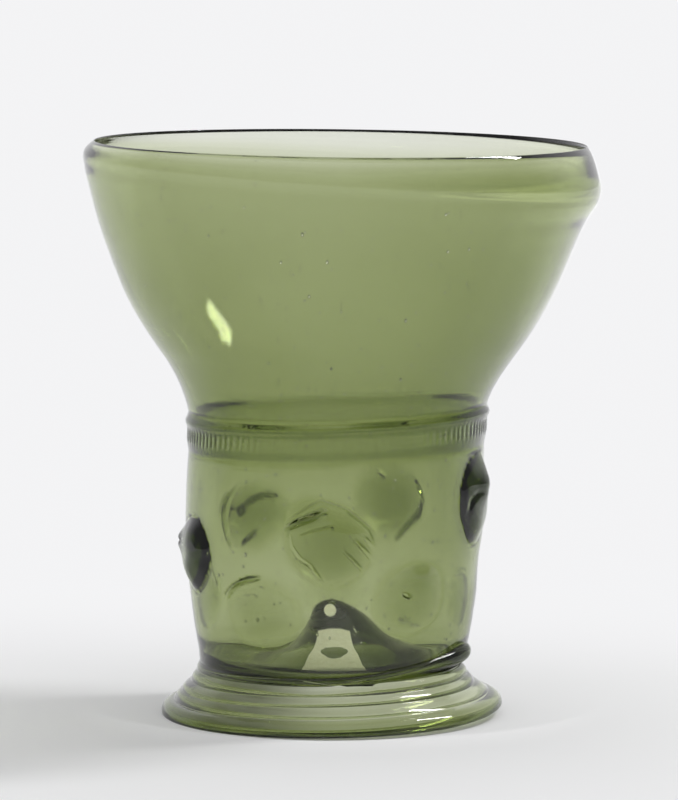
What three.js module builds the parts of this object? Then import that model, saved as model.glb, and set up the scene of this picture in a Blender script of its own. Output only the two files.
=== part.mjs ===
// A prunted beaker of green glass, in millimetres, +Z up, standing on z = 0.
// One blown bubble makes the flared bowl, the stem and the pushed-up base. Separate gathers of hot glass
// were laid on it: a notched collar, two rows of prunts, a foot wound from one thread, and the scar of the
// iron that held the base. The beaker's own front faces -Y.
import * as THREE from 'three';
import { mergeVertices } from 'three/addons/utils/BufferGeometryUtils.js';

const { degToRad, lerp, smoothstep } = THREE.MathUtils;

// Clear way between two pieces of glass
const seat_gap = 0.3;

// Foot: one thread wound in a spiral that spreads down to the table
const thread_width = 1.6;
const last_thread_width = 2.9;
const tail_width = 1.1;
const thread_gap = 0.5;
const thread_turns = 4.9;
const seat_turn = 0.25;
const drop_start_turn = 3.85;
const flat_turn = 4.25;
const flare_angle = degToRad(60.5);
const last_drop = 1.75;
const tail_rise = 3.2;
const table_cut = 0.5;
const seat_rise = 2.2;
const thread_steps_per_turn = 24;
const thread_sides = 6;

// Base: the floor, its rounded corner, and the kick with the hollow that the tool left under it
const floor_thickness = 1.9;
const corner_width = 6;
const corner_height = 3.6;
const inner_corner = 4.4;
const hollow_mouth_radius = 9;
const hollow_top_radius = 3;
const hollow_height = 9.8;
const tip_thickness = 5.2;

// Stem and bowl
const stem_foot_radius = 25.5;
const stem_belly_radius = 28.7;
const throat_radius = 28.2;
const stem_height = 45;
const bowl_radius = 48.8;
const bowl_height = 44.8;
const stem_wall = 2;
const bowl_wall = 1.35;

// Lip: a thick band that swells out and turns in again
const lip_swell = 0.25;
const rim_inset = 1.9;
const lip_height = 9.1;
const lip_wall = 1.8;

// Milled collar
const collar_height = 5;
const collar_ridge = 0.95;
const collar_crest = 0.75;
const notch_depth = 0.4;
const notch_pitch = 1.5;

// Prunts: flattened gathers with a tip that was pulled and pressed back
const prunt_crown = 2.4;
const prunt_edge = 0.5;
const prunt_tip = 0.9;
const prunt_width = 18;
const prunt_height = 16;
const prunt_sectors = 16;

// Pontil scar
const scar_thickness = 0.9;
const scar_jag = 0.25;
const scar_sectors = 14;

// How the hot glass sagged
const lean = 1.7;
const collar_slant = Math.tan(degToRad(2.05));
const lip_droop = 2.7;
const rim_droop = 0.42;

const round_steps = 48;

// Heights, stacked from the table up
const slope_length = (thread_width + thread_gap) * (flat_turn - seat_turn) + last_drop;
const ground_height = last_thread_width / 2 * Math.cos(Math.PI / thread_sides) - table_cut;
const base_z = ground_height + slope_length * Math.sin(flare_angle) - seat_rise;
const floor_z = base_z + floor_thickness;
const corner_z = base_z + corner_height;
const throat_z = corner_z + stem_height;
const shoulder_z = throat_z + bowl_height;
const beaker_height = shoulder_z + lip_height;
const hollow_z = base_z + hollow_height;
const tip_z = hollow_z + tip_thickness;
const lip_radius = bowl_radius + lip_swell;

// Outline shares, chosen by eye: [share of the height, share of the change in radius]
const stem_swell_shares = [[0, 0], [0.07, 0.2], [0.16, 0.42], [0.32, 0.72], [0.44, 0.9], [0.58, 1]];
const neck_shares = [[0.72, 0.15], [0.86, 0.45], [1, 1]];
const bowl_shares = [[0.09, 0.033], [0.18, 0.112], [0.27, 0.226], [0.36, 0.364], [0.46, 0.502],
  [0.58, 0.642], [0.72, 0.774], [0.87, 0.906], [1, 1]];
const lip_outer_shares = [[0.25, 0.05], [0.5, 0], [0.72, 0.2], [0.87, 0.55], [1, 1]];

// Lip's inner face, downward: [share of the height, share of the inset at the rim, share of the lip's wall]
const lip_inner_shares = [[0.96, 1, 0.4], [0.84, 0.5, 0.75], [0.68, 0.18, 0.95], [0.46, 0, 1],
  [0.22, 0.05, 0.9]];
const kick_shares = [[0.8, 0.06], [0.66, 0.12], [0.53, 0.22], [0.42, 0.37], [0.315, 0.55], [0.22, 0.73],
  [0.13, 0.88], [0.06, 0.97]];

// Prunts, chosen by eye: turn round the stem from the front, share of the stem's height, shares of the usual
// width and height, tilt in the pad's own plane, share by which the outline is pulled to a point and the turn
// of that point, the turn of the tip, and shares of the usual crown. Turns are in degrees.
const prunt_rows = {
  upper: [
    [-2, 0.56, 1.08, 1, -32, 0.1, 118, 95, 0.5],
    [71, 0.7, 0.96, 1.12, -6, 0.08, 262, 88, 0.8],
    [156, 0.6, 0.96, 1.01, 20, 0.06, 300, 20, 0.5],
    [215, 0.54, 1.02, 0.98, 0, 0.06, 200, 170, 0.5],
    [289, 0.45, 0.96, 1.02, 12, 0.14, 285, 150, 0.85],
  ],
  lower: [
    [-28.5, 0.25, 1.09, 1.01, 12, 0.02, 90, 150, 0.35],
    [32, 0.31, 1.06, 1, 10, 0.02, 60, 60, 0.4],
    [108, 0.235, 0.94, 0.88, 0, 0.05, 250, 80, 0.35],
    [180, 0.225, 0.94, 0.88, 8, 0.03, 100, 100, 0.35],
    [251, 0.23, 0.94, 0.88, -8, 0.05, 280, 100, 0.35],
  ],
};
const prunt_ring_shares = [0.36, 0.66, 0.88, 1];
const prunt_back_shares = [1, 0.7, 0.38];
const tip_place_share = 0.42;
const tip_spread_share = 0.34;
const point_reach = degToRad(50);

// Shares of the lip and the walls that the sagging reached
const droop_centre_share = 0.35;
const droop_above_share = 0.78;
const droop_below_share = 0.3;
const slant_share = 0.3;
const thin_wall_share = 0.6;

// Hollow under the kick: [share of the way from its top radius to its mouth radius, share of its height]
const hollow_shares = [[-0.25, 1], [0, 0.93], [0.45, 0.45], [0.84, 0.12], [1.3, 0]];

// Collar section, up its face and down the wall: [which of its thicknesses, share of its height]
const collar_levels = [['wall', 0], ['notch', 0.18], ['notch', 0.62], ['ridge', 0.84], ['wall', 1],
  ['wall', 0.67], ['wall', 0.33]];

// Scar section, from its top edge over its broken rim: [share of its radius, share of its depth, how jagged]
const scar_shares = [[0.5, 0, 0], [1, 0.1, 0], [0.92, 0.8, 1], [0.66, 1, 1], [0.4, 0.5, 0.4]];
const scar_radius_share = 0.7;
const scar_middle_share = 0.45;

// A hill that is 1 at its centre and 0 from its reach outward
function hill(distance, reach) {
  const share = Math.min(Math.abs(distance) / reach, 1);
  return Math.cos(share * Math.PI / 2) ** 2;
}

// Where a point of the true round beaker ended once the soft glass had sagged
const lip_centre_z = shoulder_z + lip_height * droop_centre_share;
const droop_reach_above = lip_height * droop_above_share;
const droop_reach_below = bowl_height * droop_below_share;
const slant_reach = stem_height * slant_share;
function settle(point) {
  const z = point.z;
  const droop_reach = z > lip_centre_z ? droop_reach_above : droop_reach_below;
  const upper_share = Math.max(0, (z - throat_z) / (beaker_height - throat_z));
  const slant = collar_slant * point.x * hill(z - throat_z, slant_reach);
  const droop = lip_droop * hill(z - lip_centre_z, droop_reach) + rim_droop * upper_share;
  point.z += slant - droop * point.x / lip_radius;
  point.x -= lean * (1 - z / beaker_height);
  return point;
}

// A named piece of glass from a closed geometry that is drawn in its place
function piece(name, geometry, material) {
  geometry.deleteAttribute('normal');
  geometry.deleteAttribute('uv');
  const merged = mergeVertices(geometry);
  const positions = merged.getAttribute('position');
  const point = new THREE.Vector3();
  for (let i = 0; i < positions.count; i += 1) {
    settle(point.fromBufferAttribute(positions, i));
    positions.setXYZ(i, point.x, point.y, point.z);
  }
  const kept = [];
  const corners = merged.getIndex().array;
  for (let i = 0; i < corners.length; i += 3) {
    const [a, b, c] = corners.slice(i, i + 3);
    if (a !== b && b !== c && c !== a) kept.push(a, b, c);
  }
  merged.setIndex(kept);
  merged.computeVertexNormals();
  const mesh = new THREE.Mesh(merged, material);
  mesh.name = name;
  return mesh;
}

// A closed skin over a row of rings. With end points it is capped there, without them it joins up in a loop.
function skin(rings, start = null, end = null) {
  const sides = rings[0].length;
  const points = rings.flat();
  const faces = [];
  const spans = start ? rings.length - 1 : rings.length;
  for (let i = 0; i < spans; i += 1) {
    const here = i * sides;
    const there = ((i + 1) % rings.length) * sides;
    for (let j = 0; j < sides; j += 1) {
      const next = (j + 1) % sides;
      faces.push(here + j, here + next, there + j, here + next, there + next, there + j);
    }
  }
  if (start) {
    const first = points.push(start) - 1;
    const last = points.push(end) - 1;
    const final_ring = (rings.length - 1) * sides;
    for (let j = 0; j < sides; j += 1) {
      const next = (j + 1) % sides;
      faces.push(first, next, j, last, final_ring + j, final_ring + next);
    }
  }
  let volume = 0;
  for (let i = 0; i < faces.length; i += 3) {
    const [a, b, c] = faces.slice(i, i + 3).map((corner) => points[corner]);
    volume += a.dot(b.clone().cross(c));
  }
  if (volume < 0) faces.reverse();
  const geometry = new THREE.BufferGeometry().setFromPoints(points);
  geometry.setIndex(faces);
  return geometry;
}

// A point at a radius, a turn round the axis from the front, and a height
function at(radius, angle, z) {
  return new THREE.Vector3(radius * Math.sin(angle), -radius * Math.cos(angle), z);
}

// Outer wall from the base corner to the shoulder, as radius over height
const outer_wall = new THREE.SplineCurve([
  ...stem_swell_shares.map(([up, out]) => new THREE.Vector2(
    lerp(stem_foot_radius, stem_belly_radius, out), corner_z + stem_height * up)),
  ...neck_shares.map(([up, out]) => new THREE.Vector2(
    lerp(stem_belly_radius, throat_radius, out), corner_z + stem_height * up)),
  ...bowl_shares.map(([up, out]) => new THREE.Vector2(
    lerp(throat_radius, bowl_radius, out), throat_z + bowl_height * up)),
]);
const wall_table = outer_wall.getPoints(200);

// The wall's outer radius at a height on the stem
function wall_radius(z) {
  const above = wall_table.findIndex((point) => point.y >= z);
  if (above < 1) return above === 0 ? wall_table[0].x : bowl_radius;
  const [low, high] = [wall_table[above - 1], wall_table[above]];
  return lerp(low.x, high.x, (z - low.y) / (high.y - low.y));
}

// Bubble: bowl, stem, floor and kick in one turned skin
function vessel_outline() {
  const corner_steps = 4;
  const wall_steps = 18;
  const flat_radius = stem_foot_radius - corner_width;
  const points = [new THREE.Vector2(0, hollow_z)];
  for (const [out, up] of hollow_shares) {
    const radius = lerp(hollow_top_radius, hollow_mouth_radius, out);
    points.push(new THREE.Vector2(radius, base_z + hollow_height * up));
  }
  for (let i = 0; i < corner_steps; i += 1) {
    const angle = i / corner_steps * Math.PI / 2;
    const out = corner_width * Math.sin(angle);
    points.push(new THREE.Vector2(flat_radius + out, corner_z - corner_height * Math.cos(angle)));
  }
  points.push(...outer_wall.getSpacedPoints(wall_steps));
  for (const [up, inset] of lip_outer_shares) {
    points.push(new THREE.Vector2(lip_radius - rim_inset * inset, shoulder_z + lip_height * up));
  }
  for (const [up, inset, wall] of lip_inner_shares) {
    const radius = lip_radius - rim_inset * inset - lip_wall * wall;
    points.push(new THREE.Vector2(radius, shoulder_z + lip_height * up));
  }
  const inner_start_z = floor_z + inner_corner;
  for (let i = 0; i <= wall_steps; i += 1) {
    const share = 1 - i / wall_steps;
    const point = outer_wall.getPointAt(share);
    const tangent = outer_wall.getTangentAt(share);
    const thinning = smoothstep(point.y, throat_z, lerp(throat_z, shoulder_z, thin_wall_share));
    const wall = lerp(stem_wall, bowl_wall, thinning);
    const inner = new THREE.Vector2(point.x - tangent.y * wall, point.y + tangent.x * wall);
    if (inner.y > inner_start_z) points.push(inner);
  }
  const inner_radius = wall_radius(inner_start_z) - stem_wall;
  const inner_floor_radius = inner_radius - inner_corner;
  for (let i = corner_steps; i >= 0; i -= 1) {
    const angle = i / corner_steps * Math.PI / 2;
    const out = inner_corner * Math.sin(angle);
    points.push(new THREE.Vector2(inner_floor_radius + out, inner_start_z - inner_corner * Math.cos(angle)));
  }
  for (const [out, up] of kick_shares) {
    points.push(new THREE.Vector2(inner_floor_radius * out, lerp(floor_z, tip_z, up)));
  }
  points.push(new THREE.Vector2(0, tip_z));
  return points;
}

// Collar: a notched band under a smooth ridge, round the throat
function collar_skin() {
  const bottom_z = throat_z - collar_height / 2;
  const notches = Math.round(2 * Math.PI * throat_radius / notch_pitch);
  const rings = [];
  for (let i = 0; i < notches * 2; i += 1) {
    const angle = i / notches * Math.PI;
    const notch = i % 2 === 0 ? collar_crest : collar_crest - notch_depth;
    const thickness = { wall: 0, notch, ridge: collar_ridge };
    rings.push(collar_levels.map(([level, up]) => {
      const z = bottom_z + collar_height * up;
      return at(wall_radius(z) + seat_gap + thickness[level], angle, z);
    }));
  }
  return skin(rings);
}

// Prunt: a pad on the wall with a tip that leans to one side
function prunt_skin([turn, rise, width_share, height_share, slope, pull_share, pull_turn, ...tip_values]) {
  const [lean_turn, crown_share] = tip_values;
  const centre_z = corner_z + stem_height * rise;
  const tilt = degToRad(slope);
  const tip_turn = degToRad(lean_turn);
  const radius = wall_radius(centre_z);
  const half_width = prunt_width * width_share / 2;
  const half_height = prunt_height * height_share / 2;
  const point_at = (rho, around, lift) => {
    const off_point = around - degToRad(pull_turn) + tilt;
    const pull = hill(Math.atan2(Math.sin(off_point), Math.cos(off_point)), point_reach);
    const reach = rho * (1 + pull_share * pull);
    const along = reach * half_width * Math.cos(around);
    const up = reach * half_height * Math.sin(around);
    const u = along * Math.cos(tilt) - up * Math.sin(tilt);
    const v = along * Math.sin(tilt) + up * Math.cos(tilt);
    return at(wall_radius(centre_z + v) + seat_gap + lift, degToRad(turn) + u / radius, centre_z + v);
  };
  const front_lift = (rho, around) => {
    const tip_x = rho * Math.cos(around) - tip_place_share * Math.cos(tip_turn);
    const tip_y = rho * Math.sin(around) - tip_place_share * Math.sin(tip_turn);
    const tip = prunt_tip * Math.exp(-(tip_x ** 2 + tip_y ** 2) / tip_spread_share ** 2);
    const dome = Math.sqrt(Math.max(0, 1 - rho ** 2));
    return prunt_edge * (1 - dome) + crown_share * (prunt_crown * dome + tip * Math.sqrt(dome));
  };
  const ring = (rho, lift_of) => Array.from({ length: prunt_sectors }, (unused, j) => {
    const around = j / prunt_sectors * 2 * Math.PI;
    return point_at(rho, around, lift_of(rho, around));
  });
  const flush = () => 0;
  const rings = [];
  for (const share of prunt_ring_shares) rings.push(ring(share, front_lift));
  for (const share of prunt_back_shares) rings.push(ring(share, flush));
  return skin(rings, point_at(0, 0, front_lift(0, 0)), point_at(0, 0, 0));
}

// Foot thread: where its middle runs, from the raised tail at the right, round the front, down to the table
function thread_width_at(turn) {
  const upper = lerp(tail_width, thread_width, smoothstep(turn, 0, seat_turn));
  const lower = last_thread_width - thread_width;
  const end_share = smoothstep(turn, thread_turns - seat_turn / 2, thread_turns);
  return upper + lower * smoothstep(turn, drop_start_turn, flat_turn) - end_share * lower;
}

const thread_path = [];
function lay_thread() {
  const seat_radius = stem_foot_radius + seat_gap + thread_width / 2;
  const steps = Math.round(thread_turns * thread_steps_per_turn);
  for (let i = 0; i <= steps; i += 1) {
    const turn = i / thread_steps_per_turn;
    const width = thread_width_at(turn);
    const steady = (thread_width + thread_gap) * (Math.min(turn, flat_turn) - seat_turn);
    const along = steady + last_drop * smoothstep(turn, drop_start_turn, flat_turn);
    const tail = tail_rise * (1 - smoothstep(turn, 0, seat_turn));
    const z = ground_height + (slope_length - along) * Math.sin(flare_angle) + tail;
    let radius = Math.max(seat_radius + along * Math.cos(flare_angle), wall_radius(z) + seat_gap + width / 2);
    const above = thread_path[i - thread_steps_per_turn];
    if (above) {
      const least = (above.width + width) / 2 + thread_gap;
      const side = Math.sqrt(Math.max(0, least ** 2 - (above.z - z) ** 2));
      radius = Math.max(radius, above.radius + side);
    }
    thread_path.push({ radius, z, width, angle: Math.PI / 2 - turn * 2 * Math.PI });
  }
}
lay_thread();

// Least gap between points of the thread that lie more than half a turn apart
function least_thread_gap() {
  let least = Infinity;
  thread_path.forEach((a, i) => {
    for (const b of thread_path.slice(i + thread_steps_per_turn / 2)) {
      const apart = at(a.radius, a.angle, a.z).distanceTo(at(b.radius, b.angle, b.z));
      least = Math.min(least, apart - (a.width + b.width) / 2);
    }
  });
  return least;
}
console.log(`foot thread: least gap to itself ${least_thread_gap().toFixed(3)} mm`);

// Foot thread: a six-sided tube along that path, cut flat where it lies on the table
function thread_skin() {
  const rings = thread_path.map(({ radius, z, width, angle }) => {
    const section = Array.from({ length: thread_sides }, (unused, j) => {
      const around = j / thread_sides * 2 * Math.PI;
      return [width / 2 * Math.cos(around), z + width / 2 * Math.sin(around)];
    });
    return section.map(([out, height], j) => {
      if (height >= 0) return at(radius + out, angle, height);
      const neighbours = [section.at(j - 1), section[(j + 1) % thread_sides]];
      const upper = neighbours.find((corner) => corner[1] >= 0);
      const share = upper[1] / (upper[1] - height);
      return at(radius + lerp(upper[0], out, share), angle, 0);
    });
  });
  const [first, last] = [thread_path[0], thread_path.at(-1)];
  return skin(rings, at(first.radius, first.angle, first.z), at(last.radius, last.angle, last.z));
}

// Pontil scar: a broken-edged disc under the top of the hollow
function scar_skin() {
  const top_z = hollow_z - seat_gap;
  const radius = hollow_top_radius * scar_radius_share;
  const rings = scar_shares.map(([out, down, jag]) => Array.from({ length: scar_sectors }, (unused, j) => {
    const around = j / scar_sectors * 2 * Math.PI;
    const broken = scar_jag * jag * Math.sin(around * 5) * Math.cos(around * 2);
    return at(radius * out * (1 + broken / 2), around, top_z - scar_thickness * (down + broken));
  }));
  return skin(rings, at(0, 0, top_z), at(0, 0, top_z - scar_thickness * scar_middle_share));
}

// Materials
const glass = (colour) => new THREE.MeshStandardMaterial({
  color: colour, roughness: 0.05, metalness: 0, transparent: true, opacity: 0.6,
});
const wall_glass = glass(0x8a9a63);
const trail_glass = glass(0x7c8b50);
const prunt_glass = glass(0x6f7f42);
const scar_glass = new THREE.MeshStandardMaterial({ color: 0x5b6444, roughness: 0.7, metalness: 0 });

// The beaker
const beaker = new THREE.Group();
const turned = new THREE.LatheGeometry(vessel_outline(), round_steps).rotateX(Math.PI / 2);
beaker.add(piece('vessel', turned, wall_glass));
beaker.add(piece('milled_collar', collar_skin(), trail_glass));
beaker.add(piece('foot_coil', thread_skin(), trail_glass));
for (const [row, places] of Object.entries(prunt_rows)) {
  places.forEach((place, i) => beaker.add(piece(`prunt_${row}_${i + 1}`, prunt_skin(place), prunt_glass)));
}
beaker.add(piece('pontil_scar', scar_skin(), scar_glass));

export default beaker;
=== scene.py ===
"""A prunted beaker of clear green glass on a pale floor."""
import random
from math import atan, atan2, cos, dist, exp, hypot, pi, radians, sin, sqrt, tan

import bpy
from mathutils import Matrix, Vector, noise


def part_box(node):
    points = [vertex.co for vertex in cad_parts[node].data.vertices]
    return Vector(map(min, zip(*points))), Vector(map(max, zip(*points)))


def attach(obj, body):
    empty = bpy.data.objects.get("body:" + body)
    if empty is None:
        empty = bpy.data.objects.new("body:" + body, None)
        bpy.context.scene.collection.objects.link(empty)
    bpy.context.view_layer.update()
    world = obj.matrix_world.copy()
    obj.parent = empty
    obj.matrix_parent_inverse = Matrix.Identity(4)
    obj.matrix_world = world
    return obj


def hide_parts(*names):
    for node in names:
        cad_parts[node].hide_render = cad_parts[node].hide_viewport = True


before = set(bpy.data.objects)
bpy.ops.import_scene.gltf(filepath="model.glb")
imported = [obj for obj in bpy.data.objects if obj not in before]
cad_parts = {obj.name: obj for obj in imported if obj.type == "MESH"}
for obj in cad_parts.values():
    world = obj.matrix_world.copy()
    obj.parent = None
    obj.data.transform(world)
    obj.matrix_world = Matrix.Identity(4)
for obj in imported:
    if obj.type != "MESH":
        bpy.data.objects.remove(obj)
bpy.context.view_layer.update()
scene = bpy.context.scene

# Sizes are in millimetres, and meshes are scaled to metres as they are made.
MM = 0.001
TURN = 2 * pi

# Foot: one thread wound in a spiral and fused to itself
SPACING = 2.25
THREAD_WIDTH = 2.45
LAST_THREAD_WIDTH = 3.5
THREAD_TURNS = 4.9
SEAT_TURN = 0.25
DROP_START_TURN = 3.85
FLAT_TURN = 4.25
FLARE = radians(60.5)
FOOT_TOP_RADIUS = 25.1
FOOT_RIM_RADIUS = 31.8
LAST_DROP = 1.0
TAIL_TURN = 0.035
TAIL_RISE = 3.5
GROUND_HEIGHT = 0.95

# Base
FLOOR_THICKNESS = 1.9
CORNER_WIDTH = 6.0
CORNER_HEIGHT = 3.6
INNER_CORNER = 4.4
KICK_HEIGHT = 15.0
KICK_WALL = 1.0
HOLLOW_HEIGHT = 10.0
KICK_LEAN = -0.3

# Stem, bowl and lip
STEM_FOOT_RADIUS = 25.5
STEM_BELLY_RADIUS = 28.7
THROAT_RADIUS = 28.2
STEM_HEIGHT = 45.0
BOWL_RADIUS = 48.8
BOWL_HEIGHT = 44.8
STEM_WALL = 1.3
LOW_STEM_WALL = 1.0
THROAT_WALL = 1.55
BOWL_WALL = 1.35
SHOULDER_WALL = 1.2
RIM_WALL = 0.27
LIP_SWELL = 0.25
RIM_INSET = 1.9
LIP_HEIGHT = 9.1

# Collar
COLLAR_HEIGHT = 5.0
COLLAR_RIDGE = 0.92
COLLAR_CREST = 0.6
NOTCH_DEPTH = 0.12
NOTCH_COUNT = 121

# Prunts
PRUNT_WIDTH = 18.0
PRUNT_HEIGHT = 16.0
PRUNT_DENT = 0.12
PRUNT_BULGE = 0.12

# How deep one gather of glass is sunk into another
FUSE = 0.2
BACK_FUSE = 0.12
SURFACE_BLUR = 0.12

# How the hot glass sagged
LEAN = 1.7
COLLAR_SLANT = tan(radians(2.05))
LIP_DROOP = 2.7
RIM_DROOP = 0.42
SWAY = 0.35
SHOULDER_TUCK = 0.5
SHOULDER_PUSH = 0.9
FOOT_TILT = 0.8
FOOT_SWAY = 0.35
RIM_SWAY = 0.45
STEM_DENT = 0.6

# Heights, stacked from the table up
SLOPE_LENGTH = SPACING * (FLAT_TURN - SEAT_TURN) + LAST_DROP
BASE_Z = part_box("vessel")[0].z / MM
CORNER_Z = BASE_Z + CORNER_HEIGHT
FLOOR_Z = BASE_Z + FLOOR_THICKNESS
THROAT_Z = CORNER_Z + STEM_HEIGHT
SHOULDER_Z = THROAT_Z + BOWL_HEIGHT
RIM_Z = SHOULDER_Z + LIP_HEIGHT
HOLLOW_Z = BASE_Z + HOLLOW_HEIGHT
TIP_Z = BASE_Z + KICK_HEIGHT
LIP_RADIUS = BOWL_RADIUS + LIP_SWELL

# Outline shares: (share of the height, share of the change in radius)
STEM_SWELL_SHARES = [(0, 0), (0.07, 0.2), (0.16, 0.42), (0.32, 0.72), (0.44, 0.9), (0.58, 1)]
NECK_SHARES = [(0.72, 0.15), (0.86, 0.45), (1, 1)]
BOWL_SHARES = [(0.09, 0.033), (0.18, 0.112), (0.27, 0.226), (0.36, 0.364), (0.46, 0.502),
               (0.58, 0.642), (0.72, 0.774), (0.87, 0.9), (1, 0.985)]
LIP_OUTER_SHARES = [(0.22, 0.1), (0.44, 0), (0.7, 0.27), (0.87, 0.6), (0.985, 1)]

# The kick's two flanks: (share of the glass floor's radius, share of the kick's height over it)
STEEP_SHARES = [(0, 1), (0.085, 0.965), (0.17, 0.86), (0.215, 0.676), (0.285, 0.48), (0.385, 0.3),
                (0.47, 0.18), (0.64, 0.06), (1, 0)]
GENTLE_SHARES = [(0, 1), (0.09, 0.955), (0.24, 0.83), (0.39, 0.65), (0.54, 0.455), (0.68, 0.33),
                 (0.82, 0.24), (0.93, 0.12), (1, 0)]


def lerp(a, b, t):
    return a + (b - a) * t


def smooth(value, low, high):
    t = min(max((value - low) / (high - low), 0), 1)
    return t * t * (3 - 2 * t)


def hill(distance, reach):
    """1 at its centre and 0 from its reach outward."""
    return cos(min(abs(distance) / reach, 1) * pi / 2) ** 2


def hill_at(z, place):
    return hill(z - place[0], place[1])


def band(value, rise, fall):
    """1 after a soft rise and before a soft fall, each given by two limits."""
    return smooth(value, *rise) * (1 - smooth(value, *fall))


def line_at(line, place):
    """A line's value at a place, from pairs of place and value."""
    for (low, first), (high, last) in zip(line, line[1:]):
        if place <= high:
            return lerp(first, last, max(place - low, 0) / (high - low))
    return line[-1][1]


def turns_round(count):
    return [i / count * TURN for i in range(count)]


def spline(points, steps):
    """A smooth line through points, with steps from each to the next."""
    line = []
    for i in range(len(points) - 1):
        a = points[max(i - 1, 0)]
        b, c = points[i], points[i + 1]
        d = points[min(i + 2, len(points) - 1)]
        for k in range(steps):
            t = k / steps
            line.append(tuple(
                0.5 * (2 * q + (r - p) * t + (2 * p - 5 * q + 4 * r - s) * t * t
                       + (3 * q - p - 3 * r + s) * t ** 3)
                for p, q, r, s in zip(a, b, c, d)))
    line.append(tuple(points[-1]))
    return line


def at(radius, angle, z):
    """A point at a radius, a turn from the front and a height, before the sagging."""
    return Vector((radius * sin(angle), -radius * cos(angle), z))


# Where each part of the sagging is strongest, and how far it reaches
TUCK_PLACE = (SHOULDER_Z - LIP_HEIGHT, LIP_HEIGHT * 1.6)
PUSH_PLACE = (SHOULDER_Z + LIP_HEIGHT * 0.3, LIP_HEIGHT * 0.8)
DENT_PLACE = (lerp(CORNER_Z, THROAT_Z, 0.42), STEM_HEIGHT * 0.17)
SWAY_PLACE = (lerp(THROAT_Z, SHOULDER_Z, 0.25), BOWL_HEIGHT * 0.55)
SLANT_PLACE = (THROAT_Z, STEM_HEIGHT * 0.3)
DROOP_Z = SHOULDER_Z + LIP_HEIGHT * 0.35
DROOP_ABOVE, DROOP_BELOW = LIP_HEIGHT * 0.78, BOWL_HEIGHT * 0.3
RIM_SWAY_Z, FOOT_SWAY_Z = 2.5, 5.5
FOOT_SWAY_END = (CORNER_Z * 0.8, CORNER_Z * 1.2)
TILT_TOP_Z = CORNER_Z + CORNER_HEIGHT


def settle(point):
    """Where a point of the true round beaker ended as the soft glass sagged."""
    x, y, z = point
    rightward = x / LIP_RADIUS
    left_side, right_side = (1 - rightward) / 2, (1 + rightward) / 2
    shift = SHOULDER_TUCK * hill_at(z, TUCK_PLACE) * left_side
    shift += SHOULDER_PUSH * hill_at(z, PUSH_PLACE) * right_side
    shift -= STEM_DENT * hill_at(z, DENT_PLACE) * right_side
    foot_sway = lerp(RIM_SWAY, -FOOT_SWAY, smooth(z, RIM_SWAY_Z, FOOT_SWAY_Z))
    shift += foot_sway * (1 - smooth(z, *FOOT_SWAY_END))
    shift += SWAY * hill_at(z, SWAY_PLACE) - LEAN * (1 - z / RIM_Z)
    tilt = FOOT_TILT * (1 + x / STEM_FOOT_RADIUS) / 2 * (1 - smooth(z, GROUND_HEIGHT, TILT_TOP_Z))
    slant = COLLAR_SLANT * x * hill_at(z, SLANT_PLACE)
    upper_share = max(0, (z - THROAT_Z) / (RIM_Z - THROAT_Z))
    droop = LIP_DROOP * hill(z - DROOP_Z, DROOP_ABOVE if z > DROOP_Z else DROOP_BELOW)
    droop += RIM_DROOP * upper_share
    return Vector((x + shift, y, z + max(0, tilt) + slant - droop * rightward))


def add_object(name, data):
    thing = bpy.data.objects.new(name, data)
    scene.collection.objects.link(thing)
    return thing


def make_piece(name, points, faces, node_names, slot, shares=None):
    """A shown piece of glass from points in millimetres, standing for CAD nodes, in its slot's material.

    shares holds lists of one number for each point. In the list called sunk it is 1 where the point lies
    inside another piece's glass, so that no surface shows on fused glass.
    """
    mesh = bpy.data.meshes.new(name)
    mesh.from_pydata([settle(p) * MM for p in points], [], faces)
    mesh.validate()
    volume = 0
    for polygon in mesh.polygons:
        corners = [mesh.vertices[i].co for i in polygon.vertices]
        for b, c in zip(corners[1:], corners[2:]):
            volume += corners[0].dot(b.cross(c))
    if volume < 0:
        mesh.flip_normals()
    mesh.polygons.foreach_set("use_smooth", [True] * len(mesh.polygons))
    for share_name, values in (shares or {}).items():
        share = mesh.attributes.new(share_name, "FLOAT", "POINT")
        share.data.foreach_set("value", values)
    mesh.materials.append(materials[slot])
    piece = add_object(name, mesh)
    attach(piece, "root")
    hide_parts(*node_names)
    return piece


def ring_faces(ring_count, sides, looped=False):
    """Quads between rings of points."""
    faces = []
    for i in range(ring_count if looped else ring_count - 1):
        here = i * sides
        there = (i + 1) % ring_count * sides
        for j in range(sides):
            k = (j + 1) % sides
            faces.append((here + j, here + k, there + k, there + j))
    return faces


def capped(rings, first, last):
    """A closed skin over rings, with a point at each end."""
    sides = len(rings[0])
    points = [p for ring in rings for p in ring] + [first, last]
    faces = ring_faces(len(rings), sides)
    end = (len(rings) - 1) * sides
    for j in range(sides):
        k = (j + 1) % sides
        faces.append((len(points) - 2, k, j))
        faces.append((len(points) - 1, end + j, end + k))
    return points, faces


# Glass materials

WHITE = (1, 1, 1, 1)


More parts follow.
